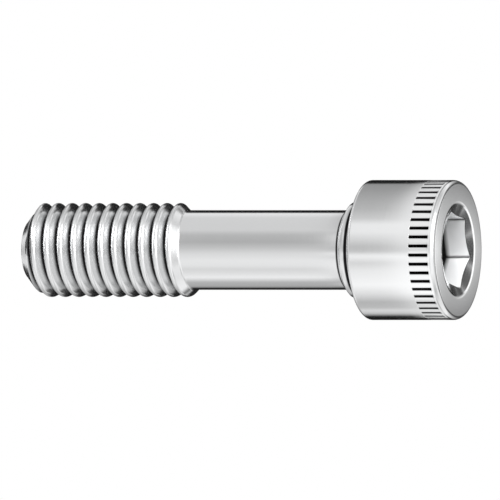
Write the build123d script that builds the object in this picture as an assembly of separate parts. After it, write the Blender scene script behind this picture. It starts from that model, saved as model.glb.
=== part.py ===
from build123d import *
import os
from math import cos, radians, tan

# A socket head cap screw with a knurled head, a plain reduced shank and a right-hand thread.
# It stands on its head: the face with the hex socket lies in the plane Z = 0, the screw's axis
# is +Z, and the threaded end points up. Sizes are in millimetres and angles in degrees.

# Head
head_diameter = 18.9
head_height = 12.7
face_rim_height = 0.72
face_rim_width = 0.5
bearing_edge_break = 0.25

# Hex socket in the head's face, with a countersunk mouth and a drilled bottom
socket_across_flats = 9.525
socket_depth = 6.35
socket_mouth_diameter = 12.8
socket_mouth_angle = 140
socket_drill_undersize = 0.3
socket_drill_angle = 130

# Straight knurl: a band of V grooves round the head, near its face
knurl_count = 48
knurl_length = 2.8
knurl_to_face = 0.95
knurl_groove_width = 0.45
knurl_groove_depth = 0.3
knurl_first_angle = 0.5

# Plain shank, and the collar with a sloped shoulder that joins it to the head
length_under_head = 48.8
shank_diameter = 10.75
collar_diameter = 13.0
collar_length = 2.1
shoulder_length = 0.75

# Thread: 1/2 inch, 13 threads to the inch, 60 degree form with broad crests and sharp roots
millimetres_per_inch = 25.4
thread_diameter = 12.7
threads_per_inch = 13
thread_form_angle = 60
threaded_length = 23.1
first_crest_to_tip = 2.0
first_crest_angle = -10.3

# Run-out: the last crest slopes down to the shank, and its helix ends on the far side
runout_angle = 45
last_turn_start = -0.75

# Chamfered tip
tip_diameter = 7.9
tip_chamfer_angle = 50

# What follows from these sizes
head_radius = head_diameter / 2
collar_radius = collar_diameter / 2
shank_radius = shank_diameter / 2
thread_radius = thread_diameter / 2
tip_radius = tip_diameter / 2
pitch = millimetres_per_inch / threads_per_inch
flank_slope = tan(radians(thread_form_angle / 2))
crest_flat = pitch / 4
thread_depth = (pitch - crest_flat) / 2 / flank_slope
root_radius = thread_radius - thread_depth
overall_length = head_height + length_under_head
chamfer_length = (thread_radius - tip_radius) / tan(radians(tip_chamfer_angle))
thread_turns = int((threaded_length - first_crest_to_tip) / pitch)
last_crest = overall_length - first_crest_to_tip - pitch * thread_turns
runout_slope = tan(radians(runout_angle))
runout_foot = crest_flat / 2 + (thread_radius - shank_radius) * runout_slope
cut_overshoot = crest_flat / 4


def headed_shank():
    """The head, the collar and the plain shank, up to where the thread covers it."""
    shank_end = last_crest + (last_turn_start + 1) * pitch - runout_foot
    shoulder_end = head_height + collar_length + shoulder_length
    with BuildPart() as turned:
        with BuildSketch(Plane.XZ):
            with BuildLine():
                face = Line((0, 0), (head_radius - face_rim_width, 0))
                rim = Line(face @ 1, (head_radius, face_rim_height))
                side = Line(rim @ 1, (head_radius, head_height - bearing_edge_break))
                edge = Line(side @ 1, (head_radius - bearing_edge_break, head_height))
                seat = Line(edge @ 1, (collar_radius, head_height))
                collar = Line(seat @ 1, (collar_radius, head_height + collar_length))
                shoulder = Line(collar @ 1, (shank_radius, shoulder_end))
                shank = Line(shoulder @ 1, (shank_radius, shank_end))
                end = Line(shank @ 1, (0, shank_end))
                Line(end @ 1, face @ 0)
            make_face()
        revolve(axis=Axis.Z)
    return turned.part


def threaded_end():
    """The thread's crest cylinder with the tip's chamfer, still without its groove."""
    start = last_crest + last_turn_start * pitch - runout_foot
    with BuildPart() as turned:
        with BuildSketch(Plane.XZ):
            with BuildLine():
                base = Line((0, start), (thread_radius, start))
                crest = Line(base @ 1, (thread_radius, overall_length - chamfer_length))
                chamfer = Line(crest @ 1, (tip_radius, overall_length))
                end = Line(chamfer @ 1, (0, overall_length))
                Line(end @ 1, base @ 0)
            make_face()
        revolve(axis=Axis.Z)
    return turned.part


def on_helix(cutter, turns):
    """A cutter made at angle 0 and height 0, moved along the last crest's helix."""
    angle = first_crest_angle + 360 * turns
    return Pos(0, 0, last_crest + pitch * turns) * Rot(0, 0, angle) * cutter


def thread_groove():
    """The V groove between the crests, turn by turn, from the last crest to past the tip."""
    outer = thread_radius + cut_overshoot
    half_width = (pitch - crest_flat) / 2 + cut_overshoot * flank_slope
    section = make_face(
        Plane.XZ
        * Polyline((root_radius, 0), (outer, -half_width), (outer, half_width), close=True)
    )
    turn = sweep(section, path=Helix(pitch, pitch, thread_radius), is_frenet=True)
    from_crest = Pos(0, 0, pitch / 2) * turn
    count = thread_turns + int(first_crest_to_tip / pitch) + 2
    return [on_helix(from_crest, last_turn_start + n) for n in range(count)]


def runout():
    """What is cut away beside the last crest, down to below the shank, in two half turns."""
    inner = shank_radius - cut_overshoot * 4
    outer = thread_radius + cut_overshoot
    reach = pitch + runout_foot + crest_flat / 2
    section = make_face(
        Plane.XZ
        * Polyline(
            (inner, -crest_flat / 2 - (thread_radius - inner) * runout_slope),
            (outer, -crest_flat / 2 + cut_overshoot * runout_slope),
            (outer, -reach),
            (inner, -reach),
            close=True,
        )
    )
    half_turn = sweep(section, path=Helix(pitch, pitch / 2, thread_radius), is_frenet=True)
    return [on_helix(half_turn, last_turn_start + start) for start in (0, 0.5)]


def socket():
    """The hex socket's hollow: countersunk mouth, hex walls and drill point."""
    corner_radius = socket_across_flats / 2 / cos(radians(30))
    drill_radius = (socket_across_flats - socket_drill_undersize) / 2
    point_depth = drill_radius / tan(radians(socket_drill_angle / 2))
    mouth_radius = socket_mouth_diameter / 2
    mouth_depth = mouth_radius / tan(radians(socket_mouth_angle / 2))
    at_bottom = (Align.CENTER, Align.CENTER, Align.MIN)
    walls = extrude(Rot(0, 0, 30) * RegularPolygon(corner_radius, 6), socket_depth)
    mouth = Cone(mouth_radius, 0, mouth_depth, align=at_bottom)
    point = Pos(0, 0, socket_depth) * Cone(drill_radius, 0, point_depth, align=at_bottom)
    return walls + mouth + point


def knurl_grooves():
    """V grooves along the axis, evenly spaced round the head."""
    root = head_radius - knurl_groove_depth
    outside = head_radius + knurl_groove_depth
    half_outside = knurl_groove_width
    section = make_face(
        Polyline((root, 0), (outside, -half_outside), (outside, half_outside), close=True)
    )
    groove = extrude(section, knurl_length)
    step = 360 / knurl_count
    turned = Pos(0, 0, knurl_to_face)
    return [
        turned * Rot(0, 0, knurl_first_angle + step * n) * groove for n in range(knurl_count)
    ]


thread = threaded_end() - runout() - thread_groove()
screw = headed_shank() + thread - socket() - knurl_grooves()

os.makedirs("parts", exist_ok=True)
export_step(screw, "parts/socket_head_cap_screw.step")
print("volume", round(screw.volume, 2), "valid", screw.is_valid, "solids", len(screw.solids()))
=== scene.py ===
import math

import bpy
import numpy as np
from mathutils import Matrix, Vector


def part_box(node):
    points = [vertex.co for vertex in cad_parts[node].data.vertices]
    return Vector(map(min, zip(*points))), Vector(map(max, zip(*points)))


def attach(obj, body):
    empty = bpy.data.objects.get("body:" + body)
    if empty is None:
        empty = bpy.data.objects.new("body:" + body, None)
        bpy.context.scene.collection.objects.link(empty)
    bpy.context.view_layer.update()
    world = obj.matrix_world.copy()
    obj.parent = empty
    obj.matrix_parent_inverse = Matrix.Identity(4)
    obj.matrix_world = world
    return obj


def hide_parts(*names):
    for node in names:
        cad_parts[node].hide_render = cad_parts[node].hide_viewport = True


# A socket head cap screw that stands on its head, seen from the side and from a little below,
# so that its axis lies across the picture and the hex socket shows at the right.
# Lengths are in metres and angles in radians, written as multiples of MM and DEGREE.

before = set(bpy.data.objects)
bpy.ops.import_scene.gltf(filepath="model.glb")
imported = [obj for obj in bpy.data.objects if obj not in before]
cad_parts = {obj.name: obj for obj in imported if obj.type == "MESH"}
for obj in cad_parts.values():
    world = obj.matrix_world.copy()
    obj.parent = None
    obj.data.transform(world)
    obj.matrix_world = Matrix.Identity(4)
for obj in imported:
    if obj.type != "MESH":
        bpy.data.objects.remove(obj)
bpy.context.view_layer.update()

MM = 0.001
DEGREE = math.radians(1)
FULL_TURN = 2 * math.pi

# The CAD node that the detailed mesh stands for, and what its box gives
NODE = "socket_head_cap_screw"
node_low, node_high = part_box(NODE)
head_radius = (node_high.x - node_low.x) / 2
overall_length = node_high.z

# Head
head_height = 12.7 * MM
face_rim_height = 0.72 * MM
face_rim_width = 0.5 * MM
bearing_edge_radius = 0.45 * MM

# Hex socket
socket_apothem = 9.525 / 2 * MM
socket_depth = 6.35 * MM
socket_mouth_radius = 6.4 * MM
socket_mouth_angle = 20 * DEGREE
socket_mouth_slope = math.tan(socket_mouth_angle)
socket_mouth_round = 1.5 * MM
socket_drill_radius = socket_apothem - 0.15 * MM
socket_drill_slope = 1 / math.tan(65 * DEGREE)

# Painted shade in the socket: at its bottom, on its walls beyond a depth, and in its corners, from
# and to shares of the apothem
drill_point_shade = 0.5
socket_bottom_shade = 0.8
socket_bottom_edge_shade = 0.9
socket_dark_from = 3.1 * MM
socket_dark_to = 3.8 * MM
corner_dark_from = 1.12
corner_dark_to = 1.155

# Straight knurl. Its grooves get painted shade over a first share of their depth, and their
# edges are soft over a share of half their width. The pairs of a groove's sloped end are a share
# of the end's length and a share of the groove's depth.
knurl_count = 48
knurl_length = 2.8 * MM
knurl_to_face = 0.95 * MM
knurl_groove_width = 0.45 * MM
knurl_groove_depth = 0.3 * MM
knurl_dark_depth = 1 / 6
knurl_edge_softness = 0.12
knurl_end_length = 0.1 * MM
knurl_end_profile = ((0.0, 0.0), (0.12, 0.06), (0.5, 0.5), (0.88, 0.94), (1.0, 1.0))
knurl_crown = 0.04 * MM
knurl_first_angle = 0.5 * DEGREE

# Shank, and the collar with a sloped shoulder that joins it to the head
shank_radius = 5.375 * MM
collar_radius = 6.5 * MM
collar_length = 2.1 * MM
shoulder_length = 0.75 * MM

# Painted shade in lines at the collar's foot, round its middle and at the shoulder's end, as pairs
# of a place and how dark it is there. The places are millimetres above the head, shares of the
# shoulder's slope, and counts of edge_round past the shoulder.
collar_shade = ((0.06, 0.8), (0.3, 0.0), (0.95, 0.0), (1.08, 1.0), (1.42, 1.0), (1.56, 0.0))
shoulder_shade = ((0.15, 0.0), (0.6, 0.0), (0.72, 0.9), (0.94, 1.0))
shank_foot_shade = ((1, 1.0), (3, 0.8), (5, 0.0))

# Thread. Along the axis from a root it has painted shade to one distance, and none from the next.
thread_radius = 6.35 * MM
pitch = 25.4 / 13 * MM
crest_flat = pitch / 4
flank_angle = 30 * DEGREE
root_round = 0.05 * MM
threaded_length = 23.1 * MM
first_crest_to_tip = 2.0 * MM
first_crest_angle = -10.3 * DEGREE
root_dark_to = 0.1 * MM
root_light_from = 0.22 * MM

# Run-out: the last crest slopes down to the shank at an angle, and its helix fades out on the far
# side, over a share of a turn
runout_angle = 45 * DEGREE
runout_slope = math.tan(runout_angle)
last_turn_start = -0.75
runout_fade = 0.14

# Chamfered tip
tip_radius = 3.95 * MM
tip_slope = math.tan(50 * DEGREE)

# Broken edges, as pairs of how far out and how far down each of their rings is, in shares of
# the edge's size
tip_edge = 0.08 * MM
tip_edge_profile = ((0.5, 0.25), (-0.3, 0.0), (-1.5, 0.0))
collar_edge = 0.08 * MM
collar_edge_profile = ((0.0, 2.0), (-0.1, 1.0), (-0.5, 0.0))

# The rounding of the other edges, and how finely the mesh is divided. The columns at a groove are
# shares of half its width, and those on a land are shares of half the spacing. The drill point's
# first ring is a share of its rim, the rows on the mouth are shares of its slope, and the rows on
# a thread's crest are degrees of its rounding.
edge_round = 0.04 * MM
groove_columns = (0.3, 0.6, 0.85, 1.05, 1.3)
land_columns = (0.6, 0.8)
shank_columns = 192
point_tip_share = 0.08
mouth_rows = (0.0, 0.05, 0.5, 0.95)
shank_rows = 8
rim_rows = 9
edge_rows = 7
crest_rows = (0, 15, 30, 45)
flank_rows = 5
spare_turns = 3
sharp_from = 50 * DEGREE

# What follows from these sizes
flank_slope = 1 / math.tan(flank_angle)
flank_lean = math.cos(flank_angle)
root_radius = thread_radius - (pitch - crest_flat) / 2 * flank_slope
peak_radius = root_radius + pitch / 2 * flank_slope
crest_round = peak_radius - thread_radius
thread_turns = int((threaded_length - first_crest_to_tip) / pitch)
last_crest = overall_length - first_crest_to_tip - pitch * thread_turns
runout_foot = crest_round + (thread_radius - shank_radius) / runout_slope
thread_start = last_crest + last_turn_start * pitch - runout_foot

# Finishes, in the order of the mesh's material slots
TURNED, BROACHED, ROLLED = range(3)


class Skin:
    """One closed surface, built ring by ring from the socket's bottom to the screw's tip."""

    def __init__(self):
        self.points = []
        self.painted_shade = []
        self.faces = []
        self.finishes = []

    def point(self, radius, angle, height, painted_shade=0.0):
        """Adds one point and returns its number."""
        self.points.append((radius * math.cos(angle), radius * math.sin(angle), height))
        self.painted_shade.append(painted_shade)
        return len(self.points) - 1

    def ring(self, radius, angles, height, painted_shade=0.0):
        """Adds a ring of points. Radius, height and painted shade are numbers, or one for each
        angle.
        """
        columns = np.broadcast_arrays(radius, angles, height, painted_shade)
        return [self.point(*column) for column in zip(*columns)]

    def face(self, corners, finish):
        """Adds a face, leaving out corners that fall on one another."""
        kept = list(dict.fromkeys(corners))
        if len(kept) > 2:
            self.faces.append(kept)
            self.finishes.append(finish)

    def band(self, first, second, finish):
        """Joins two rings that have the same number of points."""
        for k in range(len(first)):
            after = (k + 1) % len(first)
            self.face((first[k], first[after], second[after], second[k]), finish)

    def bands(self, rings, finish):
        """Joins each ring to the next, and returns the last one."""
        for first, second in zip(rings, rings[1:]):
            self.band(first, second, finish)
        return rings[-1]

    def bridge(self, first, first_angles, second, second_angles, finish):
        """Joins two rings of different counts on a flat face, going round by angle."""
        a, a_angles = self.from_zero(first, first_angles)
        b, b_angles = self.from_zero(second, second_angles)
        i = j = 0
        while i < len(first) or j < len(second):
            if j == len(second) or (i < len(first) and a_angles[i + 1] < b_angles[j + 1]):
                self.face((a[i], a[i + 1], b[j]), finish)
                i += 1
            else:
                self.face((a[i], b[j + 1], b[j]), finish)
                j += 1

    @staticmethod
    def from_zero(ring, angles):
        """The ring's points in order of angle from 0, with the first again at the end."""
        turned = np.mod(angles, FULL_TURN)
        order = np.argsort(turned)
        points = [ring[k] for k in order]
        return points + points[:1], np.append(turned[order], turned[order[0]] + FULL_TURN)

    def mesh(self, name):
        """The surface as a mesh, smooth but for its sharp edges."""
        made = bpy.data.meshes.new(name)
        made.from_pydata(self.points, [], self.faces)
        # Each point's painted shade, which darkens the steel's colour there
        made.attributes.new("painted_shade", "FLOAT", "POINT").data.foreach_set("value", self.painted_shade)
        made.polygons.foreach_set("material_index", self.finishes)
        made.shade_smooth()
        made.set_sharp_from_angle(angle=sharp_from)
        made.validate()
        return made


def head_columns():
    """Angles round the head: close together at each groove's sides, wide on the lands."""
    groove_half = knurl_groove_width / 2 / head_radius
    step = FULL_TURN / knurl_count
    side = groove_half * np.array(groove_columns)
    land = step / 2 * np.array(land_columns)
    one = np.concatenate((-side[::-1], (0.0,), side, land, (step / 2,), step - land[::-1]))
    return np.concatenate([step * n + one for n in range(knurl_count)])


def hex_radius(angles):
    """How far the hex socket's walls are from the axis."""
    sixth = FULL_TURN / 6
    return socket_apothem / np.cos(np.mod(angles + sixth / 2, sixth) - sixth / 2)


def share_between(values, start, end):
    """How far values are on the way from start to end, from 0 to 1."""
    return np.clip((values - start) / (end - start), 0, 1)


def add_socket(skin, angles):
    """The drill point and the hex walls. Returns the walls' outer edge."""
    walls = hex_radius(angles)
    corner = share_between(walls / socket_apothem, corner_dark_from, corner_dark_to)
    wall_top = (socket_mouth_radius - walls) * socket_mouth_slope
    point_depth = socket_depth + socket_drill_radius * socket_drill_slope
    apex = [skin.point(0, 0, point_depth, drill_point_shade)] * len(angles)

    def on_point(radius):
        depth = point_depth - radius * socket_drill_slope
        return skin.ring(radius, angles, depth, drill_point_shade)

    def on_wall(height):
        """The walls get painted shade deep down, where no light reaches, and in their corners."""
        deep = share_between(height, socket_dark_from, socket_dark_to)
        return skin.ring(walls, angles, height, np.maximum(corner, deep))

    rim = socket_drill_radius
    # The drill point and the socket's bottom get painted shade too
    rings = [
        apex,
        on_point(rim * point_tip_share),
        on_point(rim - edge_round),
        skin.ring(rim, angles, socket_depth, socket_bottom_shade),
        skin.ring(rim + edge_round, angles, socket_depth, socket_bottom_shade),
        skin.ring(walls - edge_round, angles, socket_depth, socket_bottom_edge_shade),
    ]
    rings += [on_wall(height) for height in (socket_depth, socket_dark_to, socket_dark_from)]
    rings += [on_wall((socket_dark_from + wall_top) / 2), on_wall(wall_top + edge_round)]
    return skin.bands(rings, BROACHED)


def add_mouth(skin, wall_edge, angles):
    """The countersunk mouth, rounded into the face. Returns its edge."""
    walls = hex_radius(angles)
    round_middle = socket_mouth_radius + socket_mouth_round * math.tan(socket_mouth_angle / 2)
    round_inside = round_middle - socket_mouth_round * math.sin(socket_mouth_angle)
    rings = [wall_edge]
    for share in mouth_rows:
        radius = walls + (round_inside - walls) * share
        rings.append(skin.ring(radius, angles, (socket_mouth_radius - radius) * socket_mouth_slope))
    for turn in np.linspace(socket_mouth_angle, 0, edge_rows):
        radius = round_middle - socket_mouth_round * math.sin(turn)
        rings.append(skin.ring(radius, angles, socket_mouth_round * (1 - math.cos(turn))))
    return skin.bands(rings, TURNED)


def knurl_depth(angles):
    """The V grooves' depth at each angle from the first groove, at the middle of their length."""
    half = knurl_groove_width / 2 / head_radius
    step = FULL_TURN / knurl_count
    from_groove = np.abs(np.mod(angles + step / 2, step) - step / 2) / half
    depth = 1 - from_groove
    soft = knurl_edge_softness
    return (np.hypot(depth, soft) + depth) / (np.hypot(1, soft) + 1)


def knurl_land_drop(angles):
    """How far the crowned lands fall from the head's radius towards the grooves."""
    step = FULL_TURN / knurl_count
    from_land = np.abs(np.mod(angles, step) - step / 2) / (step / 2)
    return knurl_crown * from_land**2


def face_rings(skin, turned):
    """The face's flat ring and its rounded rim."""
    flat = head_radius - face_rim_width
    rings = [skin.ring(flat - edge_round * 2, turned, 0)]
    for turn in np.linspace(0, math.pi / 2, rim_rows):
        radius = flat + face_rim_width * math.sin(turn)
        rings.append(skin.ring(radius, turned, face_rim_height * (1 - math.cos(turn))))
    rings.append(skin.ring(head_radius, turned, face_rim_height + edge_round * 2))
    return rings


def knurl_rings(skin, angles, turned):
    """The knurled band, with its grooves' two sloped ends."""
    grooves = knurl_depth(angles)
    lands = knurl_land_drop(angles)

    def on_knurl(height, share):
        radius = head_radius - np.maximum(knurl_groove_depth * grooves, lands) * share
        # The grooves' painted shade grows with their depth
        return skin.ring(radius, turned, height, np.minimum(grooves * share / knurl_dark_depth, 1))

    rings = []
    for end, share in knurl_end_profile:
        rings.append(on_knurl(knurl_to_face + knurl_end_length * end, share))
    for end, share in knurl_end_profile[::-1]:
        rings.append(on_knurl(knurl_to_face + knurl_length - knurl_end_length * end, share))
    return rings


def side_rings(skin, turned):
    """The head's plain side and its rounded bearing edge."""
    side_bottom = knurl_to_face + knurl_length
    side_top = head_height - bearing_edge_radius
    heights = (
        side_bottom + edge_round * 2,
        (side_bottom + side_top) / 2,
        side_top - edge_round * 2,
    )
    rings = [skin.ring(head_radius, turned, height) for height in heights]
    for turn in np.linspace(0, math.pi / 2, edge_rows):
        radius = head_radius - bearing_edge_radius * (1 - math.cos(turn))
        rings.append(skin.ring(radius, turned, side_top + bearing_edge_radius * math.sin(turn)))
    inside = head_radius - bearing_edge_radius - edge_round * 2
    rings.append(skin.ring(inside, turned, head_height))
    return rings


def add_head(skin, mouth, angles):
    """The head from the mouth's edge to the bearing face. Returns its last ring and its angles."""
    turned = angles + knurl_first_angle
    rings = [mouth]
    rings += face_rings(skin, turned)
    rings += knurl_rings(skin, angles, turned)
    rings += side_rings(skin, turned)
    return skin.bands(rings, TURNED), turned


def add_shank(skin, edge, edge_angles, angles):
    """The bearing face, the collar and the plain shank, up to where the thread starts."""
    inner = skin.ring(collar_radius + edge_round * 4, angles, head_height)
    skin.bridge(edge, edge_angles, inner, angles, TURNED)
    collar_top = head_height + collar_length
    shoulder_top = collar_top + shoulder_length
    # Painted shade: full at the collar's foot and at the shank's foot, and lines from the tables
    rings = [inner, skin.ring(collar_radius + edge_round, angles, head_height, 1.0)]
    for rise, shade in collar_shade:
        rings.append(skin.ring(collar_radius, angles, head_height + rise * MM, shade))
    for out, down in collar_edge_profile:
        radius = collar_radius + collar_edge * out
        rings.append(skin.ring(radius, angles, collar_top - collar_edge * down))
    for share, shade in shoulder_shade:
        radius = collar_radius + (shank_radius - collar_radius) * share
        rings.append(skin.ring(radius, angles, collar_top + shoulder_length * share, shade))
    rings.append(skin.ring(shank_radius + edge_round / 2, angles, shoulder_top, 1.0))
    for count, shade in shank_foot_shade:
        rings.append(skin.ring(shank_radius, angles, shoulder_top + edge_round * count, shade))
    plain = np.linspace(shoulder_top, thread_start, shank_rows)[1:-1]
    rings += [skin.ring(shank_radius, angles, height) for height in plain]
    rings.append(skin.ring(shank_radius, angles, thread_start - edge_round * 2))
    return skin.bands(rings, TURNED)


def thread_profile(offset):
    """The thread's radius at a distance along the axis from a crest's middle."""
    from_crest = abs(offset)
    from_root = pitch / 2 - from_crest
    crest_middle = peak_radius - 2 * crest_round
    root_middle = root_radius + 2 * root_round
    if from_crest < crest_round * flank_lean:
        return crest_middle + math.sqrt(crest_round**2 - from_crest**2)
    if from_root < root_round * flank_lean:
        return root_middle - math.sqrt(root_round**2 - from_root**2)
    return peak_radius - from_crest * flank_slope


def thread_steps():
    """Distances from a crest's middle to the rows of one turn, from root to root."""
    on_crest = crest_round * np.sin(np.radians(crest_rows))
    flank_top = crest_round * flank_lean
    flank_foot = pitch / 2 - root_round * flank_lean
    on_flank = flank_top + (flank_foot - flank_top) * np.linspace(0, 1, flank_rows)
    one_side = np.concatenate((on_crest, on_flank, (pitch / 2 - root_round / 2,)))
    return np.concatenate((-one_side[:0:-1], one_side, (pitch / 2,)))


def soft_min(a, b, width):
    """The smaller of two lengths, rounded where they cross."""
    return (a + b - math.hypot(a - b, width)) / 2


def runout_profile(distance):
    """The last crest's radius on its shank side: the crest's round, then the run-out's slope."""
    lean = crest_round * math.sin(runout_angle)
    crest_middle = thread_radius - crest_round
    if distance < lean:
        return crest_middle + math.sqrt(crest_round**2 - distance**2)
    slope_top = crest_middle + crest_round * math.cos(runout_angle)
    return slope_top - (distance - lean) * runout_slope


def thread_surface(offset, height, from_last, turned):
    """Radius and painted shade at a distance from the nearest crest.

    from_last is the distance from the last crest, and turned is the share of a turn from the
    end of the thread, where the last crest and groove fade into the shank.
    """
    chamfer = tip_radius + (overall_length - height) * tip_slope
    grown = min(turned / runout_fade, 1)
    if from_last < 0:
        profile = runout_profile(-from_last)
        floor = shank_radius
    else:
        profile = thread_profile(offset)
        floor = shank_radius + (root_radius - root_round - shank_radius) * grown
    if from_last >= pitch:
        floor = root_radius - root_round
    if from_last < pitch / 2 and grown < 1:
        limit = shank_radius + (thread_radius - shank_radius) * grown
        profile = soft_min(profile, limit, edge_round)
    radius = soft_min(-soft_min(-profile, -floor, edge_round), chamfer, edge_round)
    # Painted shade near each root, lessened where the chamfer cuts and the groove fades, none past
    # the last crest
    from_root = pitch / 2 - abs(offset)
    painted_shade = (root_light_from - from_root) / (root_light_from - root_dark_to)
    cut_by_chamfer = (profile - chamfer) / edge_round
    painted_shade = min(painted_shade, 1 - cut_by_chamfer, 1)
    if from_last < 0:
        painted_shade = 0
    elif from_last < pitch:
        painted_shade = min(painted_shade, grown)
    return radius, max(painted_shade, 0)


def add_thread(skin, start, angles):
    """The thread, in rows that follow its helix and stop at the shank's and the tip's edges."""
    top = overall_length - tip_edge
    bottom_ring = skin.ring(shank_radius, angles, thread_start)
    skin.band(start, bottom_ring, TURNED)
    top_ring = skin.ring(tip_radius + tip_edge * tip_slope, angles, top)
    steps = thread_steps()
    turns_above = math.ceil(first_crest_to_tip / pitch) + 1
    share = (angles - first_crest_angle) / FULL_TURN
    turned = np.mod(share - last_turn_start, 1)
    last = last_crest + pitch * (turned + last_turn_start)
    rows = []
    finishes = []
    for turn in range(-thread_turns - spare_turns, turns_above):
        crest = overall_length - first_crest_to_tip + pitch * turn
        for offset in steps:
            row = []
            on_shank = crest + pitch * share + offset < last - runout_foot
            finishes.append(np.where(on_shank, TURNED, ROLLED).tolist())
            for k, angle in enumerate(angles):
                height = crest + pitch * share[k] + offset
                if height <= thread_start:
                    row.append(bottom_ring[k])
                elif height >= top:
                    row.append(top_ring[k])
                else:
                    surface = thread_surface(offset, height, height - last[k], turned[k])
                    row.append(skin.point(surface[0], angle, height, surface[1]))
            rows.append(row)
    join_helix(skin, rows, finishes, len(steps), top_ring[0])
    return top_ring


def join_helix(skin, rows, finishes, seam, above):
    """Joins the rows of a helix, whose ends meet the row that lies seam rows further up."""
    starts = [row[0] for row in rows] + [above] * (seam + 1)
    for j, (low, high) in enumerate(zip(rows, rows[1:])):
        for k in range(len(low) - 1):
            skin.face((low[k], low[k + 1], high[k + 1], high[k]), finishes[j][k])
        skin.face((low[-1], starts[j + seam], starts[j + seam + 1], high[-1]), finishes[j][-1])


def add_tip(skin, edge, angles):
    """The tip's broken edge and flat face."""
    rings = [edge]
    for out, down in tip_edge_profile:
        radius = tip_radius + tip_edge * out
        rings.append(skin.ring(radius, angles, overall_length - tip_edge * down))
    rings.append([skin.point(0, 0, overall_length)] * len(angles))
    skin.bands(rings, TURNED)


def make_screw():
    """The whole screw as one closed mesh."""
    skin = Skin()
    around_head = head_columns()
    around_shank = first_crest_angle + np.linspace(0, FULL_TURN, shank_columns, endpoint=False)
    wall_edge = add_socket(skin, around_head)
    mouth_edge = add_mouth(skin, wall_edge, around_head)
    seat_edge, seat_angles = add_head(skin, mouth_edge, around_head)
    shank_end = add_shank(skin, seat_edge, seat_angles, around_shank)
    thread_end = add_thread(skin, shank_end, around_shank)
    add_tip(skin, thread_end, around_shank)
    screw = bpy.data.objects.new("screw", skin.mesh("screw"))
    bpy.context.scene.collection.objects.link(screw)
    return screw


# Steel, its tone where shade is painted, how far its marks change the roughness, and how deep they
# are
steel_tone = (0.8, 0.805, 0.81, 1)
painted_shade_tone = (0.012, 0.012, 0.012, 1)
roughness_spread = 0.05
mark_strength = 0.2
mark_depth = 0.003 * MM

# Each finish in the order of the material slots: its name, its roughness, and how many marks
# it has to a metre along X, Y and Z
finish_looks = (
    ("steel_turned", 0.12, (150.0, 150.0, 9000.0)),
    ("steel_broached", 0.48, (6000.0, 6000.0, 200.0)),
    ("steel_rolled", 0.18, (400.0, 400.0, 400.0)),
)


def steel(name, roughness, marks):
    """Light steel with fine marks, as many to a metre along X, Y and Z as marks says."""
    material = bpy.data.materials.new(name)
    material.use_nodes = True
    nodes = material.node_tree.nodes
    links = material.node_tree.links
    shader = nodes["Principled BSDF"]
    shader.inputs["Metallic"].default_value = 1.0
    place = nodes.new("ShaderNodeTexCoord")
    stretch = nodes.new("ShaderNodeVectorMath")
    stretch.operation = "MULTIPLY"
    stretch.inputs[1].default_value = marks
    links.new(place.outputs["Object"], stretch.inputs[0])
    grain = nodes.new("ShaderNodeTexNoise")
    grain.inputs["Scale"].default_value = 1.0
    grain.inputs["Detail"].default_value = 3.0
    links.new(stretch.outputs[0], grain.inputs["Vector"])
    # Painted shade: the mesh's attribute darkens the colour
    painted_shade = nodes.new("ShaderNodeAttribute")
    painted_shade.attribute_name = "painted_shade"
    colour = nodes.new("ShaderNodeMix")
    colour.data_type = "RGBA"
    colour.inputs["A"].default_value = steel_tone
    colour.inputs["B"].default_value = painted_shade_tone
    links.new(painted_shade.outputs["Fac"], colour.inputs["Factor"])
    links.new(colour.outputs["Result"], shader.inputs["Base Color"])
    rough = nodes.new("ShaderNodeMapRange")
    rough.inputs["To Min"].default_value = roughness - roughness_spread
    rough.inputs["To Max"].default_value = roughness + roughness_spread
    links.new(grain.outputs["Fac"], rough.inputs["Value"])
    links.new(rough.outputs["Result"], shader.inputs["Roughness"])
    bump = nodes.new("ShaderNodeBump")
    bump.inputs["Strength"].default_value = mark_strength
    bump.inputs["Distance"].default_value = mark_depth
    links.new(grain.outputs["Fac"], bump.inputs["Height"])
    links.new(bump.outputs["Normal"], shader.inputs["Normal"])
    return material


# The camera: its side round the axis, how steeply it looks up at the head's face, how many pixels
# wide its picture is and how wide each is on the screw, and the height in the picture's middle
view_azimuth = -10.3 * DEGREE
view_tilt = 20.4 * DEGREE
picture_pixels = 500
pixel_width = 0.135 * MM
picture_middle = 30.0 * MM
camera_distance = 400 * MM

# What the camera and the metal see of the world, and how strongly it lights the rest
WHITE = (1, 1, 1, 1)
world_light = 0.6


def add_camera():
    """A camera with no perspective, rolled so that the axis runs across the picture."""
    back = Vector(
        (
            math.sin(view_azimuth) * math.cos(view_tilt),
            -math.cos(view_azimuth) * math.cos(view_tilt),
            -math.sin(view_tilt),
        )
    )
    down_axis = Vector((0, 0, -1))
    right = (down_axis - down_axis.dot(back) * back).normalized()
    up = back.cross(right)
    data = bpy.data.cameras.new("camera")
    data.type = "ORTHO"
    data.ortho_scale = picture_pixels * pixel_width
    camera = bpy.data.objects.new("camera", data)
    turn = Matrix((right, up, back)).transposed().to_4x4()
    place = Vector((0, 0, picture_middle)) + back * camera_distance
    camera.matrix_world = Matrix.Translation(place) @ turn
    bpy.context.scene.collection.objects.link(camera)
    bpy.context.scene.camera = camera


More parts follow.
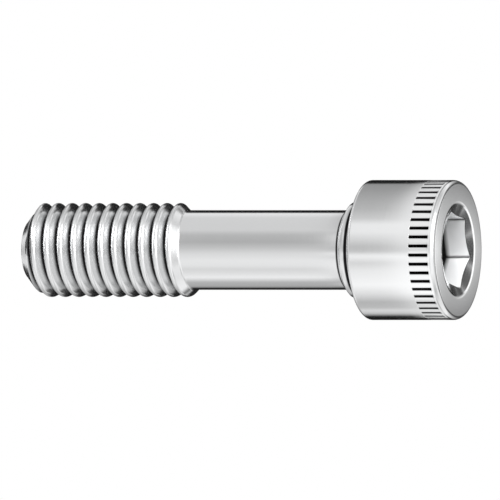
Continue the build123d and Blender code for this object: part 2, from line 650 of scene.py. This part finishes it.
def add_world():
    """A plain world that the camera and the metal see as white."""
    world = bpy.data.worlds.new("world")
    bpy.context.scene.world = world
    world.use_nodes = True
    nodes = world.node_tree.nodes
    links = world.node_tree.links
    path = nodes.new("ShaderNodeLightPath")
    seen = nodes.new("ShaderNodeMath")
    seen.operation = "ADD"
    seen.use_clamp = True
    also = nodes.new("ShaderNodeMath")
    also.operation = "ADD"
    also.use_clamp = True
    links.new(path.outputs["Is Camera Ray"], seen.inputs[0])
    links.new(path.outputs["Is Glossy Ray"], seen.inputs[1])
    links.new(seen.outputs[0], also.inputs[0])
    links.new(path.outputs["Is Transmission Ray"], also.inputs[1])
    light = nodes["Background"]
    light.inputs["Color"].default_value = WHITE
    light.inputs["Strength"].default_value = world_light
    white = nodes.new("ShaderNodeBackground")
    white.inputs["Color"].default_value = WHITE
    white.inputs["Strength"].default_value = 1.0
    mix = nodes.new("ShaderNodeMixShader")
    links.new(also.outputs[0], mix.inputs["Fac"])
    links.new(light.outputs[0], mix.inputs[1])
    links.new(white.outputs[0], mix.inputs[2])
    links.new(mix.outputs[0], nodes["World Output"].inputs["Surface"])


# The light tent round the screw. Each tier starts at a height, where it blends with the one
# below, and has its own bands of light and dark. Their pairs are an angle from the camera's side,
# in degrees towards the lower edge of the picture, and the tone there.
tent_radius = 70 * MM
tent_low = -120 * MM
tent_high = 150 * MM
tent_blend = 3 * MM
tent_turn_step = 2
tent_height_step = 2 * MM
under_tone = 0.8
top_card_radius = 45 * MM
top_tone = 0.02
far_low_bands = ((-180, 0.08), (-130, 0.08), (-105, 0.6), (105, 0.6), (130, 0.08), (180, 0.08))
low_bands = (
    (-180, 1.4), (-170, 1.4), (-164, 0.1), (-145, 0.1), (-120, 0.9), (0, 1.1), (120, 0.9),
    (145, 0.1), (164, 0.1), (170, 1.4), (180, 1.4),
)
side_middle = (
    (-169, 0.08), (-155, 0.08), (-125, 1.1), (-95, 0.65), (-65, 0.85), (-35, 1.15), (35, 1.15),
    (65, 0.6), (90, 0.95), (120, 1.1), (155, 0.08), (169, 0.08),
)
side_bands = (
    (-180, 0.62), (-176, 0.44), (-172, 0.24), *side_middle, (172, 0.24), (176, 0.44), (180, 0.62),
)
face_bands = (
    (-180, 1.05), (-176, 0.7), (-172, 0.35), *side_middle, (172, 0.35), (176, 0.7), (180, 1.05),
)
rim_bands = ((-180, 0.01), *side_middle, (180, 0.01))
knurl_bands = (
    (-180, 0.01), (-146, 0.01), (-139, 0.9), (-70, 1.1), (-10, 1.0), (0, 0.9), (10, 1.2),
    (70, 1.3), (90, 0.95), (139, 0.9), (146, 0.01), (180, 0.01),
)
head_bands = (
    (-180, 0.01), (-138, 0.01), (-132, 0.33), (-110, 0.38), (-66, 0.55), (-50, 0.7), (-40, 1.0),
    (-28, 1.0), (-16, 0.8), (-5, 0.6), (2, 0.65), (9, 1.1), (20, 0.8), (32, 1.0), (56, 1.15),
    (72, 0.9), (90, 0.55), (104, 0.6), (113, 0.85), (124, 0.6), (129, 0.3), (136, 0.01),
    (180, 0.01),
)
shank_bands = (
    (-180, 0.01), (-136, 0.01), (-129, 1.0), (-118, 0.9), (-104, 0.78), (-58, 0.75), (-42, 0.55),
    (-22, 0.5), (-6, 0.65), (10, 0.85), (30, 0.98), (44, 0.95), (56, 0.82), (68, 0.9), (84, 1.05),
    (104, 0.55), (128, 0.45), (143, 0.01), (180, 0.01),
)
thread_bands = (
    (-180, 0.01), (-155, 0.01), (-146, 0.5), (-110, 0.5), (-75, 0.8), (-20, 0.9), (0, 0.65),
    (20, 0.9), (90, 0.9), (110, 0.55), (146, 0.45), (155, 0.01), (180, 0.01),
)
tent_tiers = (
    (tent_low - tent_blend, far_low_bands),
    (-96 * MM, low_bands),
    (-38 * MM, face_bands),
    (-27 * MM, side_bands),
    (-19 * MM, rim_bands),
    (8 * MM, head_bands),
    (20 * MM, knurl_bands),
    (28 * MM, head_bands),
    (40 * MM, shank_bands),
    (66 * MM, thread_bands),
)


def tent_tone(turn, height):
    """The tent's tone at an angle from the camera's side, in degrees, and at a height."""
    tone = 0
    for start, bands in tent_tiers:
        share = np.clip((height - start) / tent_blend + 0.5, 0, 1)
        tone += (np.interp(turn, *zip(*bands)) - tone) * share
    return tone


def tent_mesh():
    """A cylinder of soft light and dark bands, closed below, with a dark round card on top."""
    turns = np.arange(-180, 180, tent_turn_step)
    heights = np.arange(tent_low, tent_high, tent_height_step)
    points = []
    tones = []
    faces = []
    for height in heights:
        for turn in turns:
            angle = view_azimuth - math.pi / 2 - turn * DEGREE
            points.append((tent_radius * math.cos(angle), tent_radius * math.sin(angle), height))
            tones.append(tent_tone(turn, height))
    count = len(turns)
    for row in range(len(heights) - 1):
        for k in range(count):
            after = (k + 1) % count
            low = row * count
            faces.append((low + k, low + after, low + count + after, low + count + k))
    points.append((0, 0, tent_low))
    tones.append(under_tone)
    faces += [(len(points) - 1, k, (k + 1) % count) for k in range(count)]
    faces.append(range(len(points), len(points) + count))
    for turn in turns:
        place = (math.cos(turn * DEGREE), math.sin(turn * DEGREE))
        points.append((top_card_radius * place[0], top_card_radius * place[1], tent_high))
        tones.append(top_tone)
    data = bpy.data.meshes.new("tent")
    data.from_pydata(points, [], faces)
    data.attributes.new("tone", "FLOAT", "POINT").data.foreach_set("value", tones)
    return data


def tent_material():
    """Light whose strength is the tone kept in the mesh."""
    material = bpy.data.materials.new("tent")
    material.use_nodes = True
    nodes = material.node_tree.nodes
    links = material.node_tree.links
    nodes.remove(nodes["Principled BSDF"])
    glow = nodes.new("ShaderNodeEmission")
    tone = nodes.new("ShaderNodeAttribute")
    tone.attribute_name = "tone"
    links.new(tone.outputs["Fac"], glow.inputs["Strength"])
    links.new(glow.outputs[0], nodes["Material Output"].inputs["Surface"])
    return material


def add_tent():
    """The light tent, which only reflections see."""
    data = tent_mesh()
    data.materials.append(tent_material())
    tent = bpy.data.objects.new("tent", data)
    bpy.context.scene.collection.objects.link(tent)
    tent.visible_camera = False
    tent.visible_diffuse = False
    tent.visible_transmission = False
    tent.visible_shadow = False


# Each lamp: its name, where it is, what it points at, how wide it is, and its power in watts
lamps = (
    ("key", (0.3, -0.25, 0.5), (0, 0, 0.03), 0.25, 3.0),
    ("socket", (0.13, -0.33, -0.2), (0, 0, 0), 0.35, 10.0),
)

# The floor, which lies a little under the head
floor_half = 400 * MM
floor_drop = 0.05 * MM
floor_tone = (0.9, 0.9, 0.9, 1)
floor_roughness = 0.9


def add_lamp(name, place, aim, width, power):
    """A soft square lamp."""
    data = bpy.data.lights.new(name, "AREA")
    data.size = width
    data.energy = power
    lamp = bpy.data.objects.new(name, data)
    direction = Vector(aim) - Vector(place)
    turn = direction.to_track_quat("-Z", "Y").to_matrix().to_4x4()
    lamp.matrix_world = Matrix.Translation(Vector(place)) @ turn
    lamp.visible_camera = False
    bpy.context.scene.collection.objects.link(lamp)


def add_floor():
    """A pale floor under the head, seen only from above."""
    signs = ((-1, -1), (1, -1), (1, 1), (-1, 1))
    corners = [(floor_half * x, floor_half * y, -floor_drop) for x, y in signs]
    data = bpy.data.meshes.new("floor")
    data.from_pydata(corners, [], [(0, 1, 2, 3)])
    material = bpy.data.materials.new("floor")
    material.use_nodes = True
    nodes = material.node_tree.nodes
    links = material.node_tree.links
    shader = nodes["Principled BSDF"]
    shader.inputs["Base Color"].default_value = floor_tone
    shader.inputs["Roughness"].default_value = floor_roughness
    clear = nodes.new("ShaderNodeBsdfTransparent")
    side = nodes.new("ShaderNodeNewGeometry")
    mix = nodes.new("ShaderNodeMixShader")
    links.new(side.outputs["Backfacing"], mix.inputs["Fac"])
    links.new(shader.outputs[0], mix.inputs[1])
    links.new(clear.outputs[0], mix.inputs[2])
    links.new(mix.outputs[0], nodes["Material Output"].inputs["Surface"])
    data.materials.append(material)
    floor = bpy.data.objects.new("floor", data)
    bpy.context.scene.collection.objects.link(floor)
    floor.visible_shadow = False
    floor.visible_diffuse = False
    floor.visible_glossy = False


screw = make_screw()
for name, roughness, marks in finish_looks:
    screw.data.materials.append(steel(name, roughness, marks))
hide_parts(NODE)
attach(screw, "root")

add_camera()
add_world()
add_tent()
add_floor()
for name, place, aim, width, power in lamps:
    add_lamp(name, place, aim, width, power)
bpy.context.scene.view_settings.view_transform = "Standard"
